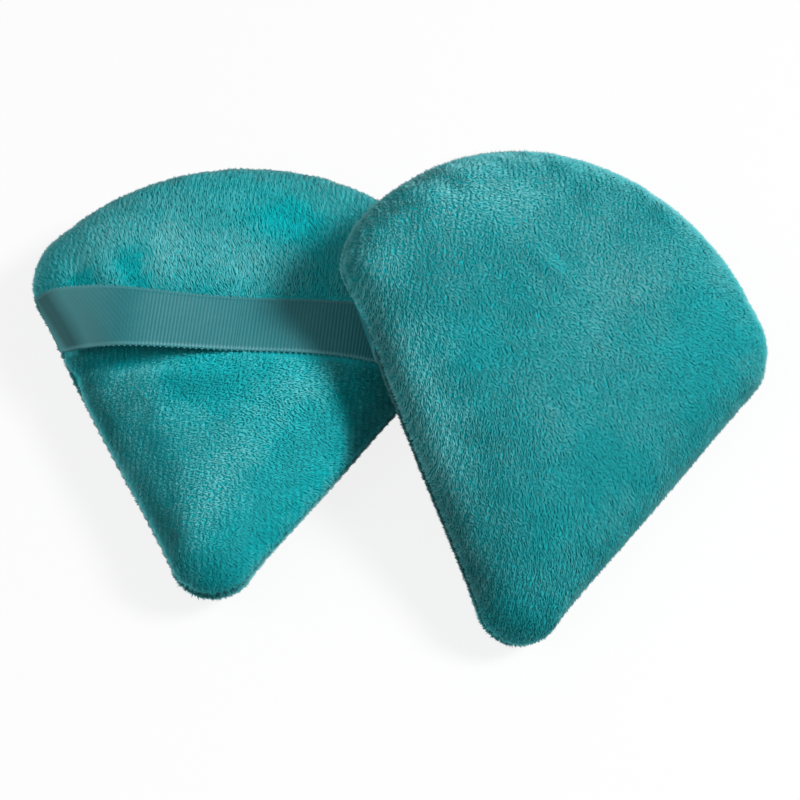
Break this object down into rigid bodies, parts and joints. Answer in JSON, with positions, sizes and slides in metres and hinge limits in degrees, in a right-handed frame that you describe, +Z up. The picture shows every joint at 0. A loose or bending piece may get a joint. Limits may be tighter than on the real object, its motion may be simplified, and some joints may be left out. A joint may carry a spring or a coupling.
{
  "type": "powder puff",
  "caption": "Fan-shaped velour powder puffs with ribbon finger straps, laid as a pair: one flat with its strap up, the other leaning on it strap down.",
  "frame": {"origin": "middle of the pair's footprint, on the surface that the lower puff rests on", "axes": "+Z up, off the surface; +X across the pair, from the lower puff to the upper one; +Y from the puffs' points towards their round edges"},
  "size_m": [0.1204, 0.0818, 0.0375],
  "materials": {
    "velour_face": "short cut pile",
    "velour_back": "short cut pile, brushed",
    "grosgrain": "fine ribs, slight sheen",
    "sponge": "matt open foam",
    "thread": "matt"
  },
  "bodies": {
    "lower_puff": {"lower_face_panel": "velour_face", "lower_back_panel": "velour_back", "lower_sponge_pad": "sponge", "lower_overlock_thread": "thread", "lower_strap_left_end": "grosgrain", "lower_strap_right_end": "grosgrain"},
    "lower_strap": {"lower_strap_span": "grosgrain"},
    "upper_puff": {"upper_face_panel": "velour_face", "upper_back_panel": "velour_back", "upper_sponge_pad": "sponge", "upper_overlock_thread": "thread", "upper_strap_left_end": "grosgrain", "upper_strap_right_end": "grosgrain"},
    "upper_strap": {"upper_strap_span": "grosgrain"}
  },
  "joints": [
    {"name": "lower_strap_lift", "type": "slide", "parent": "lower_puff", "child": "lower_strap", "axis": [0, 0, 1], "range_m": [0, 0.006], "stiffness_N_per_m": 20, "deforming": ["lower_strap_left_end", "lower_strap_right_end"]},
    {"name": "upper_lift_off", "type": "slide", "parent": "lower_puff", "child": "upper_puff", "axis": [0, 0, 1], "range_m": [0, 0.04]},
    {"name": "upper_strap_lift", "type": "slide", "parent": "upper_puff", "child": "upper_strap", "axis": [-0.3858, 0.2567, -0.8862], "range_m": [0, 0.004], "stiffness_N_per_m": 20, "deforming": ["upper_strap_left_end", "upper_strap_right_end"]}
  ]
}
